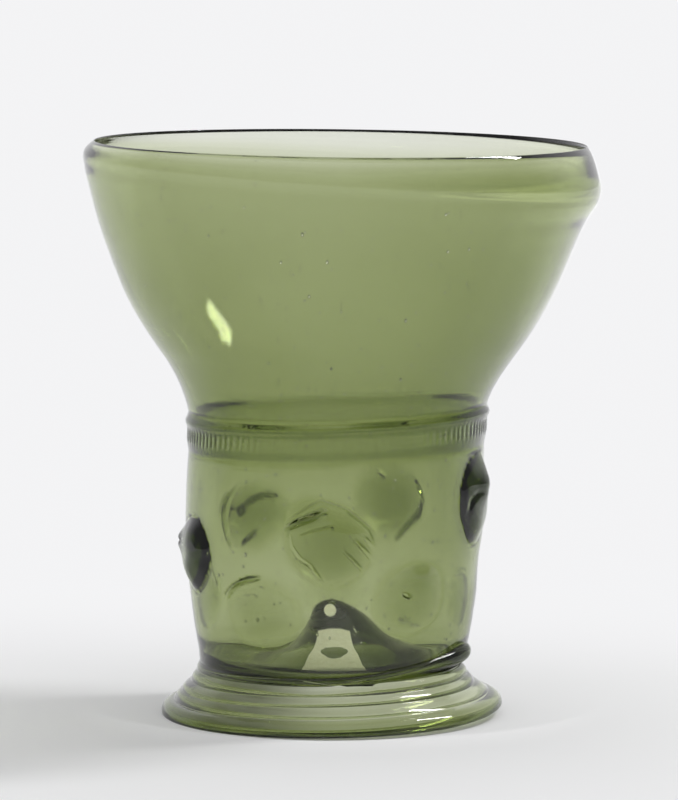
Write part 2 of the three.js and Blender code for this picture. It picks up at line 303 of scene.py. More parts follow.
class Graph:
    """The nodes of a material or of the world."""

    def __init__(self, owner, cleared=False):
        owner.use_nodes = True
        self.nodes, self.links = owner.node_tree.nodes, owner.node_tree.links
        if cleared:
            self.nodes.clear()

    def feed(self, node, inputs):
        """Set a node's inputs, each to a value or by a link from a socket."""
        for name, value in inputs.items():
            if isinstance(value, bpy.types.NodeSocket):
                self.links.new(value, node.inputs[name])
            else:
                node.inputs[name].default_value = value

    def add(self, kind, **inputs):
        """A node with its inputs fed. An underscore stands for a space in a name."""
        node = self.nodes.new("ShaderNode" + kind)
        self.feed(node, {name.replace("_", " "): value for name, value in inputs.items()})
        return node

    def place(self, kind="Object"):
        return self.add("TexCoord").outputs[kind]

    def split(self, vector):
        parts = self.add("SeparateXYZ", Vector=vector)
        return [parts.outputs[axis] for axis in "XYZ"]

    def share(self, name):
        """A share that the mesh keeps for its points."""
        kept = self.add("Attribute")
        kept.attribute_name = name
        return kept.outputs["Fac"]

    def grain(self, stretch, scale, detail):
        """A noise of the place on the object."""
        spread = self.add("Mapping", Vector=self.place(), Scale=stretch).outputs["Vector"]
        return self.add("TexNoise", Vector=spread, Scale=scale, Detail=detail).outputs["Fac"]

    def ramp(self, value, low, high, low_value=0.0, high_value=1.0, kind="SMOOTHSTEP"):
        step = self.add("MapRange", Value=value, From_Min=low, From_Max=high,
                        To_Min=low_value, To_Max=high_value)
        step.interpolation_type = kind
        return step.outputs["Result"]

    def calc(self, operation, first, second=0.0):
        step = self.add("Math")
        step.operation = operation
        self.feed(step, {0: first, 1: second})
        return step.outputs["Value"]

    def times(self, product, *factors):
        for factor in factors:
            product = self.calc("MULTIPLY", product, factor)
        return product

    def mixed(self, share, first, second):
        mix = self.add("MixShader", Fac=share)
        self.feed(mix, {1: first, 2: second})
        return mix.outputs["Shader"]


# Light taken up per metre in red, green and blue, and the headroom over the strongest
GREEN_ABSORBED = (458, 397, 745)
SCAR_ABSORBED = (520, 450, 700)
HEADROOM = 1.1
GLASS_IOR = 1.5

# Noises, each with its stretch, scale and detail
WEAR_GRAIN = ((1, 1, 6), 160, 5)
LINE_GRAIN = ((1, 1, 30), 60, 4)
REFLECTION_GRAIN = ((1, 1, 3), 1500, 4)
RIPPLE_DETAIL = 2
WORN_SHARES = (0.5, 0.8)
WORN_ROUGHNESS = 0.04


def clear_glass(name, absorbed, roughness, ripple_scale, ripple_height, line_height):
    """Clear glass with its colour in depth, and ripples and tool lines, in metres, on its skin."""
    material = bpy.data.materials.new(name)
    graph = Graph(material)
    strongest = max(absorbed) * HEADROOM
    tint = (*[1 - a / strongest for a in absorbed], 1)
    depth = graph.add("VolumeAbsorption", Color=tint, Density=strongest).outputs["Volume"]
    graph.feed(graph.nodes["Material Output"], {"Volume": depth})
    ripple = graph.grain((1, 1, 1), ripple_scale, RIPPLE_DETAIL)
    rippled = graph.add("Bump", Distance=ripple_height, Height=ripple).outputs["Normal"]
    lined = graph.add("Bump", Distance=line_height, Height=graph.grain(*LINE_GRAIN), Normal=rippled)
    dullness = (roughness, roughness + WORN_ROUGHNESS)
    graph.feed(graph.nodes["Principled BSDF"], {
        "Base Color": WHITE,
        "Transmission Weight": 1,
        "IOR": graph.ramp(graph.share("sunk"), 0, 1, GLASS_IOR, 1, kind="LINEAR"),
        "Roughness": graph.ramp(graph.grain(*WEAR_GRAIN), *WORN_SHARES, *dullness, kind="LINEAR"),
        "Normal": lined.outputs["Normal"]})
    return material


# Each glass: absorption, roughness, the ripples' scale and height, and the tool lines' height
GLASSES = {
    "wall_glass": (GREEN_ABSORBED, 0.0, 60, 0.00003, 0.00001),
    "collar_glass": (GREEN_ABSORBED, 0.0, 200, 0.00002, 0.000004),
    "foot_glass": (GREEN_ABSORBED, 0.0, 160, 0.00002, 0.000004),
    "prunt_glass": (GREEN_ABSORBED, 0.0, 120, 0.00003, 0.000002),
    "scar_glass": (SCAR_ABSORBED, 0.35, 900, 0.0001, 0.000004),
}
materials = {name: clear_glass(name, *look) for name, look in GLASSES.items()}

# Painted reflection of the overhead light on the kick's front: a pale patch that widens downward, with a
# clear oval in it, and a painted highlight spot on top.
# An oval has the X and Z of its middle, and half its width and height.
REFLECTION_X = -1.25
REFLECTION_LOW_Z, REFLECTION_TOP_Z = 10.2, 17.5
REFLECTION_TOP_HALF, REFLECTION_SPREAD, REFLECTION_FLARE, REFLECTION_FLARE_POWER = 3.1, 1.5, 1.45, 3.0
REFLECTION_ARCH = 0.06
REFLECTION_EDGE = 0.12
CLEAR_OVAL = (-1.2, 13.55, 2.6, 0.95)
# A painted highlight: a pale oval spot near the kick's tip
TIP_HIGHLIGHT = (-2.05, 20.5, 1.15, 1.05)
# Cream colours of the painted reflection of the overhead light
REFLECTION_TONES = ((0.3, (0.86, 0.83, 0.72, 1)), (0.6, (0.97, 0.95, 0.87, 1)))
REFLECTION_ROUGHNESS = 0.6


def oval_share(graph, x, z, oval):
    """1 inside an oval and 0 outside it."""
    squares = []
    for value, middle, half in zip((x, z), oval[:2], oval[2:]):
        off = graph.calc("DIVIDE", graph.calc("SUBTRACT", value, middle), half)
        squares.append(graph.times(off, off))
    return graph.ramp(graph.calc("ADD", *squares), 1 - REFLECTION_EDGE, 1 + REFLECTION_EDGE, 1.0, 0.0)


def painted_reflection_share(graph):
    """1 where the painted reflection of the overhead light lies on the front of the kick's face."""
    calc, times, ramp = graph.calc, graph.times, graph.ramp
    x, y, z = [calc("DIVIDE", part, MM) for part in graph.split(graph.place())]
    off = calc("ABSOLUTE", calc("SUBTRACT", x, REFLECTION_X))
    down = ramp(z, REFLECTION_LOW_Z, REFLECTION_TOP_Z, 1.0, 0.0)
    flare = times(calc("POWER", down, REFLECTION_FLARE_POWER), REFLECTION_FLARE)
    half = calc("ADD", calc("ADD", times(down, REFLECTION_SPREAD), REFLECTION_TOP_HALF), flare)
    insides = [calc("SUBTRACT", half, off),
               calc("SUBTRACT", calc("SUBTRACT", REFLECTION_TOP_Z, z), times(off, off, REFLECTION_ARCH)),
               calc("SUBTRACT", z, REFLECTION_LOW_Z)]
    patch = times(*[ramp(inside, 0.0, REFLECTION_EDGE) for inside in insides])
    patch = times(patch, calc("SUBTRACT", 1.0, oval_share(graph, x, z, CLEAR_OVAL)))
    patch = calc("MAXIMUM", patch, oval_share(graph, x, z, TIP_HIGHLIGHT))
    on_kick = calc("GREATER_THAN", graph.share("kick_face"), 0.5)
    return times(patch, on_kick, calc("LESS_THAN", y, 0.0))


# Paints the pale reflection into the wall glass: where its share is 1 the glass turns cream, opaque and
# rough.
def add_painted_reflection(material):
    graph = Graph(material)
    shader = graph.nodes["Principled BSDF"]
    share = painted_reflection_share(graph)
    grain = graph.add("ValToRGB", Fac=graph.grain(*REFLECTION_GRAIN))
    for element, (position, tone) in zip(grain.color_ramp.elements, REFLECTION_TONES):
        element.position = position
        element.color = tone
    colour = graph.add("Mix")
    colour.data_type = "RGBA"
    graph.feed(colour, {"Factor": share, "A": WHITE, "B": grain.outputs["Color"]})
    polish = shader.inputs["Roughness"].links[0].from_socket
    graph.feed(shader, {
        "Base Color": colour.outputs["Result"],
        "Transmission Weight": graph.calc("SUBTRACT", 1.0, share),
        "Roughness": graph.calc("MAXIMUM", polish, graph.times(share, REFLECTION_ROUGHNESS))})


# The kick's painted reflection of the overhead light, in the wall glass
add_painted_reflection(materials["wall_glass"])

# Vessel
stations = [(lerp(STEM_FOOT_RADIUS, STEM_BELLY_RADIUS, out), CORNER_Z + STEM_HEIGHT * up)
            for up, out in STEM_SWELL_SHARES]
stations += [(lerp(STEM_BELLY_RADIUS, THROAT_RADIUS, out), CORNER_Z + STEM_HEIGHT * up)
             for up, out in NECK_SHARES]
stations += [(lerp(THROAT_RADIUS, BOWL_RADIUS, out), THROAT_Z + BOWL_HEIGHT * up)
             for up, out in BOWL_SHARES]
wall_line = [(z, radius) for radius, z in spline(stations, 8)]


def wall_radius(z):
    return line_at(wall_line, z)


# Each prunt: turn from the front and height share of its middle, width and height as shares of the usual pad;
# tilt, pull to a point and the turn of that point; crown, the pressed tip's turn, place out and height; and
# folds. A fold is a line of places on the pad, in millimetres round to the right and up from its middle, with
# the fold's depth, which is negative for a ridge, and half its width.
PRUNTS = {
    "prunt_upper_1": ((-2, 0.56, 1.14, 1.06), (-32, 0.16, 118), (0.85, 95, 0.42, 0.1), [
        ([(-8.1, 2.9), (-5.6, 4.3), (-3.3, 5.1), (-1.1, 6.1)], -1.3, 0.6),
        ([(-7.5, 1.6), (-7.1, -0.5), (-5.5, -2.5), (-3.4, -3.8), (-1.5, -6.4)], 0.9, 0.32),
        ([(4.8, 0.9), (9, -3.5)], 0.9, 0.25),
        ([(6.7, 1.3), (8.5, -0.9), (9, -3.5)], 0.9, 0.25),
        ([(2.9, -1.2), (5.2, -3.4), (6.6, -5)], 0.4, 0.25),
        ([(-5.4, 2.2), (-3.2, 3.1), (0.2, 4)], 0.3, 0.4),
        ([(-10.2, 1.4), (-7.9, 4.2), (-1.7, 8.3), (3.2, 6.6), (7.7, 3), (9.5, -0.9), (9, -4.5)], -0.3, 0.35),
        ([(-1.6, -6.5), (0.7, -8.2), (3.1, -6.6)], -0.12, 0.3)]),
    "prunt_upper_2": ((71, 0.7, 1, 1.16), (-6, 0.08, 262), (1.5, 88, 0.3, 0.9), [
        ([(-5.5, -2.2), (-4.6, 0.2), (-2.4, 1.5), (1.5, 1.7)], 0.45, 0.7)]),
    "prunt_upper_3": ((156, 0.6, 1, 1.05), (20, 0.06, 300), (1.15, 20, 0.42, 0.1), [
        ([(-5.4, 4), (-6.9, 2.3), (-7.8, 0.6)], -1.6, 0.4),
        ([(-6.9, 0.3), (-6, -2.1), (-3.8, -4.8), (-1.5, -7.6)], -2.2, 0.42),
        ([(1.5, 5.2), (2.6, 6)], 0.35, 0.4)]),
    "prunt_upper_4": ((215, 0.54, 1.08, 1.02), (0, 0.06, 200), (1.15, 170, 0.42, 0.1), [
        ([(4.7, 7.5), (6.8, 4), (7.7, 0.5), (7.2, -3.5)], -1.8, 0.42),
        ([(7.2, -3.5), (5.5, -6.8)], -1.2, 0.4),
        ([(1.5, 1.9), (0.3, 3), (-1.5, 3.9), (-3.6, 4.1), (-5.5, 3.6)], -2.0, 0.42),
        ([(1.8, 1.3), (2.3, 1)], -2.0, 0.7),
        ([(2.2, -5.3), (0.4, -4.3), (-1.8, -3.3)], -0.8, 0.35)]),
    "prunt_upper_5": ((289, 0.47, 1, 0.97), (12, 0.06, 285), (1.65, 150, 0.85, 1.5), [
        ([(-8, 2), (-5.5, 1.4), (-3, 1.8)], 0.5, 0.6)]),
    "prunt_lower_1": ((-28.5, 0.25, 1.15, 1.08), (12, 0.02, 90), (0.2, 150, 0.42, 0.1), [
        ([(-8.9, 2.9), (-7.4, 4.6), (-5, 6), (-2.6, 6.8), (-0.5, 7.2)], -1.0, 0.5)]),
    "prunt_lower_2": ((32, 0.31, 1.12, 1.06), (10, 0.02, 60), (0.4, 55, 0.5, 0.4), [
        ([(-1.5, 1.4), (-0.7, 1)], 0.7, 0.36)]),
    "prunt_lower_3": ((108, 0.235, 0.94, 0.88), (0, 0.05, 250), (0.5, 80, 0.42, 0.2), [
        ([(-4, 4.5), (0, 5.2), (4, 4)], 0.5, 0.35)]),
    "prunt_lower_4": ((180, 0.2, 0.94, 0.84), (8, 0.03, 100), (0.12, 100, 0.42, 0.1), []),
    "prunt_lower_5": ((251, 0.23, 0.94, 0.88), (-8, 0.05, 280), (0.6, 100, 0.42, 0.2), [
        ([(-5, 2), (-3, 4.5), (1, 5.5)], 0.5, 0.35)]),
}


def round_turn(angle):
    """The same turn between minus half and plus half a turn."""
    return (angle + pi) % TURN - pi


# How fast a prunt's dent fades, and how many of the pad's half heights away it ends
DENT_FALL = 1.3
DENT_LIMIT = 2


def prunt_nearness(angle, z):
    """1 under the middle of a prunt, falling to 0 outside it."""
    most = 0
    for (turn, rise, width, height), *_ in PRUNTS.values():
        off_z = (z - CORNER_Z - STEM_HEIGHT * rise) / (PRUNT_HEIGHT * height / 2)
        if abs(off_z) <= DENT_LIMIT:
            round_off = round_turn(angle - radians(turn)) * STEM_BELLY_RADIUS
            off_u = round_off / (PRUNT_WIDTH * width / 2)
            most = max(most, exp(-DENT_FALL * (off_u ** 2 + off_z ** 2)))
    return most


# Unevenness round the wall: its height, how fast it turns, its grain upward, and its seed
WANDER_RADIUS, WANDER_SCALE = 2, 1.1
SLOW_SWELL = (0.1, 1, 30, 3.1)
QUICK_SWELL = (0.02, 3, 9, 7.7)
INNER_SWELL = (0.05, 1, 16, 11.3)
KICK_SWELL = (0.22, 1, 6, 5.2)
RIDGE_SWELL = (1, 1, 9, 1.7)
NOTCH_DRIFT = (1.6, 4, 9, 4.2)
SEAM_DRIFT = (1.6, 2, 9, 6.1)
COLLAR_DRIFT = (0.12, 2, 9, 8.8)


def wander(angle, z, swell):
    """Uneven noise round the wall, up to about the swell's height either way."""
    tall, speed, grain, seed = swell
    across, along = sin(angle * speed) * WANDER_RADIUS, cos(angle * speed) * WANDER_RADIUS
    return tall * noise.noise(Vector((across, along, z / grain + seed)) * WANDER_SCALE)


def outer_radius(angle, z):
    """The blown wall's outer radius, with its unevenness and the dents under prunts."""
    swell = wander(angle, z, SLOW_SWELL) + wander(angle, z, QUICK_SWELL)
    return wall_radius(z) + swell - PRUNT_DENT * prunt_nearness(angle, z)


# The wall's thickness at some heights
WALL_LEVELS = [(lerp(CORNER_Z, THROAT_Z, 0.25), LOW_STEM_WALL), (lerp(CORNER_Z, THROAT_Z, 0.6), STEM_WALL),
               (THROAT_Z, THROAT_WALL), (lerp(THROAT_Z, SHOULDER_Z, 0.5), BOWL_WALL),
               (SHOULDER_Z, SHOULDER_WALL), (RIM_Z, RIM_WALL)]


def wall_thickness(z):
    for (low_z, low), (high_z, high) in zip(WALL_LEVELS, WALL_LEVELS[1:]):
        if z <= high_z:
            return lerp(low, high, smooth(z, low_z, high_z))
    return RIM_WALL


# Where the wall is thicker or thinner, and the heights where the lip's fold and thin back start and end
THICK_SIDE_SHARE = 0.12
LIP_FOLD = 0.2
RIGHT_FOLD = 0.95
THIN_BACK = 0.15
COLLAR_PINCH = 0.15
PINCH_PLACE = (THROAT_Z, COLLAR_HEIGHT * 0.8)
FOLD_RISE = (SHOULDER_Z + LIP_HEIGHT * 0.34, SHOULDER_Z + LIP_HEIGHT * 0.44)
FOLD_FALL = (SHOULDER_Z + LIP_HEIGHT * 0.5, RIM_Z)
THIN_RISE = (SHOULDER_Z - LIP_HEIGHT, SHOULDER_Z)
THIN_FALL = (RIM_Z - LIP_HEIGHT * 0.4, RIM_Z)


def extra_thickness(angle, z):
    """How much thicker the wall is on its right and along the lip's fold."""
    rightward, frontward = sin(angle), cos(angle)
    fold = (LIP_FOLD + RIGHT_FOLD * max(0, rightward)) * band(z, FOLD_RISE, FOLD_FALL)
    thin = THIN_BACK * band(z, THIN_RISE, THIN_FALL)
    return (THICK_SIDE_SHARE * rightward * wall_thickness(z) - COLLAR_PINCH * hill_at(z, PINCH_PLACE)
            + fold * (1 + frontward) / 2 - thin * (1 - frontward) / 2)


FLOOR_RADIUS = wall_radius(FLOOR_Z + INNER_CORNER) - STEM_WALL - INNER_CORNER
FLANK_STEPS = 12
LEAST_FALL = 0.0001
LEAST_REACH = 0.001
HALVINGS = 14


def flank(shares):
    """A function that gives the flank's share of the radius at a share of the kick's height."""
    line = spline(shares, FLANK_STEPS)

    def reach(height):
        for (r0, h0), (r1, h1) in zip(line, line[1:]):
            if h1 <= height:
                return lerp(r0, r1, (h0 - height) / max(h0 - h1, LEAST_FALL))
        return 1
    return reach


steep_flank, gentle_flank = flank(STEEP_SHARES), flank(GENTLE_SHARES)


def kick_share(radius, angle):
    """The kick's height as a share. Its level lines are half ovals, cut short on the steep left."""
    across = radius * sin(angle) / FLOOR_RADIUS
    along = radius * cos(angle) / FLOOR_RADIUS
    low, high = 0.0, 1.0
    for _ in range(HALVINGS):
        middle = (low + high) / 2
        wide = max(gentle_flank(middle), LEAST_REACH)
        side = max(steep_flank(middle), LEAST_REACH) if across < 0 else wide
        if (across / side) ** 2 + (along / wide) ** 2 < 1:
            low = middle
        else:
            high = middle
    return low


def floor_height(radius, angle):
    return lerp(FLOOR_Z, TIP_Z, kick_share(radius, angle))


# The base's wall: where it thickens, how far out it reads the kick, and its blend with the hollow's top
THICKENING = (FLOOR_RADIUS * 0.25, FLOOR_RADIUS * 0.8)
READ_OUTWARD = KICK_WALL * 0.6
HOLLOW_BLEND = 2.0


def hollow_top(radius):
    return HOLLOW_Z - radius ** 2 / (HOLLOW_HEIGHT * 2)


def hollow_height(radius, angle):
    """Height of the base's under face, which follows the kick and has a round top."""
    wall = lerp(KICK_WALL, FLOOR_THICKNESS, smooth(radius, *THICKENING))
    follow = floor_height(radius + READ_OUTWARD, angle) - wall
    top = hollow_top(radius)
    mix = min(max(0.5 + (top - follow) / HOLLOW_BLEND / 2, 0), 1)
    return max(BASE_Z, lerp(top, follow, mix) - HOLLOW_BLEND * mix * (1 - mix))


def out_of_line(line, i):
    """The direction out of the glass at a point of an upward outline."""
    (r0, z0), (r1, z1) = line[max(i - 1, 0)], line[min(i + 1, len(line) - 1)]
    return Vector((z1 - z0, r0 - r1)).normalized()


FINE_SPACING, WIDE_SPACING = 0.55, 1.2
FINE_RING, WIDE_RING = 0.3, 0.9
STEEP_RADIUS = FLOOR_RADIUS * 0.35


def spaced(line):
    """The same outline with even spacing: wide on the bowl, and fine elsewhere."""
    kept = [line[0]]
    for point in line[1:-1]:
        on_bowl = THROAT_Z + COLLAR_HEIGHT < point[1] < SHOULDER_Z - COLLAR_HEIGHT
        if dist(point, kept[-1]) >= (WIDE_SPACING if on_bowl else FINE_SPACING):
            kept.append(point)
    return kept + [line[-1]]


def floor_radii(outer):
    """Radii out to a given one, close together on the kick's steep flank."""
    radii = [FINE_RING]
    while radii[-1] < outer - WIDE_RING:
        radii.append(radii[-1] + (FINE_RING if radii[-1] < STEEP_RADIUS else WIDE_RING))
    return radii


def round_corner(radius, z, width, height, steps):
    """A quarter of an oval round a middle, from under it outward."""
    turns = [i / steps * pi / 2 for i in range(steps + 1)]
    return [(radius + width * sin(turn), z - height * cos(turn)) for turn in turns]


UNDER_STEPS, CORNER_STEPS, OUTLINE_STEPS, RIM_STEPS = 5, 8, 16, 6
INSIDE_Z = FLOOR_Z + INNER_CORNER
LEAST_INSIDE_Z = INSIDE_Z + INNER_CORNER * 0.2


def vessel_outline():
    """Points (radius, height, side) from under the kick, up the outside and down the inside."""
    base_radius = STEM_FOOT_RADIUS - CORNER_WIDTH
    under = round_corner(base_radius, CORNER_Z, CORNER_WIDTH, CORNER_HEIGHT, UNDER_STEPS)[:-1]
    under = spline(under + [stations[0]], UNDER_STEPS)[:-1]
    lip = [(LIP_RADIUS - RIM_INSET * inset, SHOULDER_Z + LIP_HEIGHT * up) for up, inset in LIP_OUTER_SHARES]
    outside = spaced(spline(stations + lip, OUTLINE_STEPS))
    inside = []
    for i, (r, z) in list(enumerate(outside))[::2] + [(len(outside) - 1, outside[-1])]:
        shift = out_of_line(outside, i) * wall_thickness(z)
        if z - shift.y > LEAST_INSIDE_Z:
            inside.append((r - shift.x, z - shift.y))
    rim = []
    out = out_of_line(outside, len(outside) - 1)
    up = Vector((-out.y, out.x))
    centre = Vector(outside[-1]) - out * RIM_WALL / 2
    for i in range(1, RIM_STEPS):
        angle = i / RIM_STEPS * pi
        rim.append(tuple(centre + (out * cos(angle) + up * sin(angle)) * RIM_WALL / 2))
    corner = round_corner(FLOOR_RADIUS, INSIDE_Z, INNER_CORNER, INNER_CORNER, CORNER_STEPS)[:0:-1]
    hollow = [(r, BASE_Z) for r in floor_radii(base_radius)]
    floor = [(r, FLOOR_Z) for r in floor_radii(FLOOR_RADIUS)[::-1]]
    parts = {"hollow": hollow, "under": under, "outside": outside, "rim": rim,
             "inside": inside[::-1] + corner, "floor": floor}
    return [(r, z, side) for side, part in parts.items() for r, z in part]


# Where the kneading of the kick's face starts and ends, and where the wall's unevenness starts
KNEAD_RISE, KNEAD_FALL = (0, STEM_FOOT_RADIUS / 3), (FLOOR_RADIUS * 0.9, FLOOR_RADIUS)
UNEVEN_FROM_Z = (CORNER_Z - CORNER_HEIGHT / 2, CORNER_Z + CORNER_HEIGHT)
UNEVEN_FROM_RADIUS = (STEM_FOOT_RADIUS * 0.7, STEM_FOOT_RADIUS * 0.9)


def vessel_point(radius, z, side, angle):
    """A point of the blown skin, with its unevenness."""
    if side in ("hollow", "floor"):
        if side == "hollow":
            z = hollow_height(radius, angle)
        else:
            knead = wander(angle, radius, KICK_SWELL) * band(radius, KNEAD_RISE, KNEAD_FALL)
            z = floor_height(radius, angle) + knead
        lean = KICK_LEAN * (1 - smooth(radius, 0, FLOOR_RADIUS))
        return at(radius, angle, z) + Vector((lean, 0, 0))
    share = smooth(z, *UNEVEN_FROM_Z) * smooth(radius, *UNEVEN_FROM_RADIUS)
    shift = (outer_radius(angle, z) - wall_radius(z)) * share
    if side == "inside":
        bulge = PRUNT_BULGE * prunt_nearness(angle, z)
        shift -= (wander(angle, z, INNER_SWELL) + bulge + extra_thickness(angle, z)) * share
    return at(radius + shift, angle, z)


# Seeds: their least radius, how much larger a few are, how long, how deep, and under how much glass
SEED_DRAW = 11
SEED_COUNT = 560
SEED_RADIUS, SEED_SPREAD, SEED_RARITY = 0.17, 0.15, 3
SEED_STRETCH = 1.7
SEED_DEPTHS = (0.45, 0.6)
SEED_COVER = 1.8
TIP_BUBBLE_RADIUS, TIP_BUBBLE_DEPTH = 0.8, 1.9
GOLDEN = (1 + sqrt(5)) / 2
BUBBLE_SIDES = [(0, 11, 5), (0, 5, 1), (0, 1, 7), (0, 7, 10), (0, 10, 11), (1, 5, 9), (5, 11, 4), (11, 10, 2),
                (10, 7, 6), (7, 1, 8), (3, 9, 4), (3, 4, 2), (3, 2, 6), (3, 6, 8), (3, 8, 9), (4, 9, 5),
                (2, 4, 11), (6, 2, 10), (8, 6, 7), (9, 8, 1)]


def seed_bubbles(points, faces):
    """Tiny bubbles in the wall and one in the kick's tip, as voids whose faces look inward."""
    dice = random.Random(SEED_DRAW)
    corners = []
    for turned in range(3):
        for far in (GOLDEN, -GOLDEN):
            for near in (-1, 1):
                corner = (near, far, 0)
                corners.append(Vector(corner[-turned:] + corner[:-turned]).normalized())
    voids = [(Vector((KICK_LEAN, 0, TIP_Z - TIP_BUBBLE_DEPTH)), TIP_BUBBLE_RADIUS, 1)]
    for _ in range(SEED_COUNT):
        z = dice.uniform(CORNER_Z + INNER_CORNER, SHOULDER_Z)
        angle = dice.uniform(0, TURN)
        size = SEED_RADIUS + SEED_SPREAD * dice.random() ** SEED_RARITY
        stretch = dice.uniform(1, SEED_STRETCH)
        depth = max(wall_thickness(z) * dice.uniform(*SEED_DEPTHS), size * SEED_COVER)
        voids.append((at(outer_radius(angle, z) - depth, angle, z), size, stretch))
    for middle, size, stretch in voids:
        first = len(points)
        for corner in corners:
            points.append(middle + Vector((corner.x * size, corner.y * size, corner.z * size * stretch)))
        faces += [(first + c, first + b, first + a) for a, b, c in BUBBLE_SIDES]


def over_surface(lift):
    """0 below the wall's surface and 1 above it."""
    return smooth(lift, -SURFACE_BLUR, SURFACE_BLUR)


VESSEL_STEPS = 256


def make_vessel():
    rings, sunk, kick_face = [], [], []
    turns = turns_round(VESSEL_STEPS)
    for r, z, side in vessel_outline():
        rings.append([vessel_point(r, z, side, angle) for angle in turns])
        sunk += [over_surface(highest_lift(angle, z)) if side == "outside" else 0 for angle in turns]
        kick_face += [1 if side == "floor" else 0] * VESSEL_STEPS
    points, faces = capped(rings, Vector((KICK_LEAN, 0, HOLLOW_Z)), Vector((KICK_LEAN, 0, TIP_Z)))
    faces = [face[::-1] for face in faces]
    kick_face += [0, 1]
    seed_bubbles(points, faces)
    for values in (sunk, kick_face):
        values += [0] * (len(points) - len(values))
    shares = {"sunk": sunk, "kick_face": kick_face}
    make_piece("beaker_bubble", points, faces, ["vessel"], "wall_glass", shares)


# Collar, with its rises, falls and places as shares of its height

COLLAR_COLUMNS = NOTCH_COUNT * 7
COLLAR_ROWS, COLLAR_BACK_ROWS = 24, 4
COLLAR_LOW, COLLAR_HIGH = -0.7, 1.3
BODY_RISE, BODY_FALL = (COLLAR_LOW, 0.25), (0.85, COLLAR_HIGH)
NOTCH_RISE, NOTCH_FALL = (0, 0.12), (0.5, 0.64)
RIDGE_PLACE, SEAM_PLACE = (0.82, 0.25), (0.67, 0.07)
NOTCH_SHARPNESS = 1.5
NOTCH_UNEVENNESS, RIDGE_UNEVENNESS = 0.5, 0.4
SEAM_DEPTH, SEAM_SHARE = 0.12, 0.4


def collar_lift(angle, up):
    """The thread's height over the wall at a share of its own height."""
    unevenness = wander(angle, 0, RIDGE_SWELL)
    phase = NOTCH_COUNT * angle + wander(angle, 0, NOTCH_DRIFT)
    cut = (0.5 - 0.5 * cos(phase)) ** NOTCH_SHARPNESS * band(up, NOTCH_RISE, NOTCH_FALL)
    cut *= NOTCH_DEPTH * (1 + NOTCH_UNEVENNESS * unevenness)
    ridge = (COLLAR_RIDGE - COLLAR_CREST) * (1 + RIDGE_UNEVENNESS * unevenness) * hill_at(up, RIDGE_PLACE)
    seam = SEAM_DEPTH * max(0, SEAM_SHARE + wander(angle, 0, SEAM_DRIFT)) * hill_at(up, SEAM_PLACE)
    return (FUSE + COLLAR_CREST - cut + ridge - seam) * band(up, BODY_RISE, BODY_FALL) - FUSE


def collar_height_at(angle, up):
    return THROAT_Z - COLLAR_HEIGHT / 2 + COLLAR_HEIGHT * up + wander(angle, 0, COLLAR_DRIFT)


def collar_lift_at(angle, z):
    up = (z - collar_height_at(angle, 0)) / COLLAR_HEIGHT
    return collar_lift(angle, up) if COLLAR_LOW < up < COLLAR_HIGH else -FUSE


def make_collar():
    points, sunk = [], []
    for angle in turns_round(COLLAR_COLUMNS):
        for k in range(COLLAR_ROWS + 1):
            up = lerp(COLLAR_LOW, COLLAR_HIGH, k / COLLAR_ROWS)
            lift = collar_lift(angle, up)
            z = collar_height_at(angle, up)
            points.append(at(outer_radius(angle, z) + lift, angle, z))
            sunk.append(1 - over_surface(lift))
        for k in range(COLLAR_BACK_ROWS, 0, -1):
            z = collar_height_at(angle, lerp(COLLAR_LOW, COLLAR_HIGH, k / (COLLAR_BACK_ROWS + 1)))
            points.append(at(outer_radius(angle, z) - FUSE - BACK_FUSE, angle, z))
            sunk.append(1)
    faces = ring_faces(COLLAR_COLUMNS, COLLAR_ROWS + 1 + COLLAR_BACK_ROWS, looped=True)
    make_piece("notched_collar", points, faces, ["milled_collar"], "collar_glass", {"sunk": sunk})


# Prunts

PRUNT_SIDES = 180
PRUNT_RINGS, PRUNT_BACK_RINGS = 56, 10
POINT_REACH = radians(50)
TIP_REACH = 0.3
FLAT_EDGE = 1.5
FULLNESS = 2.6
EDGE_GRAIN, EDGE_UNEVENNESS, EDGE_MARGIN = 1.3, 0.05, 1.1
LUMP_GRAIN, LUMP_SHARE = 1.6, 0.2
SEED_SPACING = 17
SOFT_EDGE = (0.01, 0.12)

# How many half widths a fold reaches, how many make it long, and its ends' share of the depth
FOLD_REACH, LONG_FOLD, FOLD_END_SHARE = 3, 4, 0.35


def fold_depth(u, v, folds):
    """How far the folds of the soft tip cut into the pad."""
    deepest = 0
    for line, depth, half_width in folds:
        spans = [dist(a, b) for a, b in zip(line, line[1:])]
        whole, before = sum(spans), 0
        cut = 0
        for (ua, va), (ub, vb), span in zip(line, line[1:], spans):
            t = min(max(((u - ua) * (ub - ua) + (v - va) * (vb - va)) / span ** 2, 0), 1)
            off = hypot(u - lerp(ua, ub, t), v - lerp(va, vb, t)) / half_width
            if off < FOLD_REACH:
                strength = 1
                if whole > half_width * LONG_FOLD:
                    strength = lerp(FOLD_END_SHARE, 1, sin((before + span * t) / whole * pi))
                cut = max(cut, strength * exp(-off * off))
            before += span
        if abs(cut * depth) > abs(deepest):
            deepest = cut * depth
    return deepest


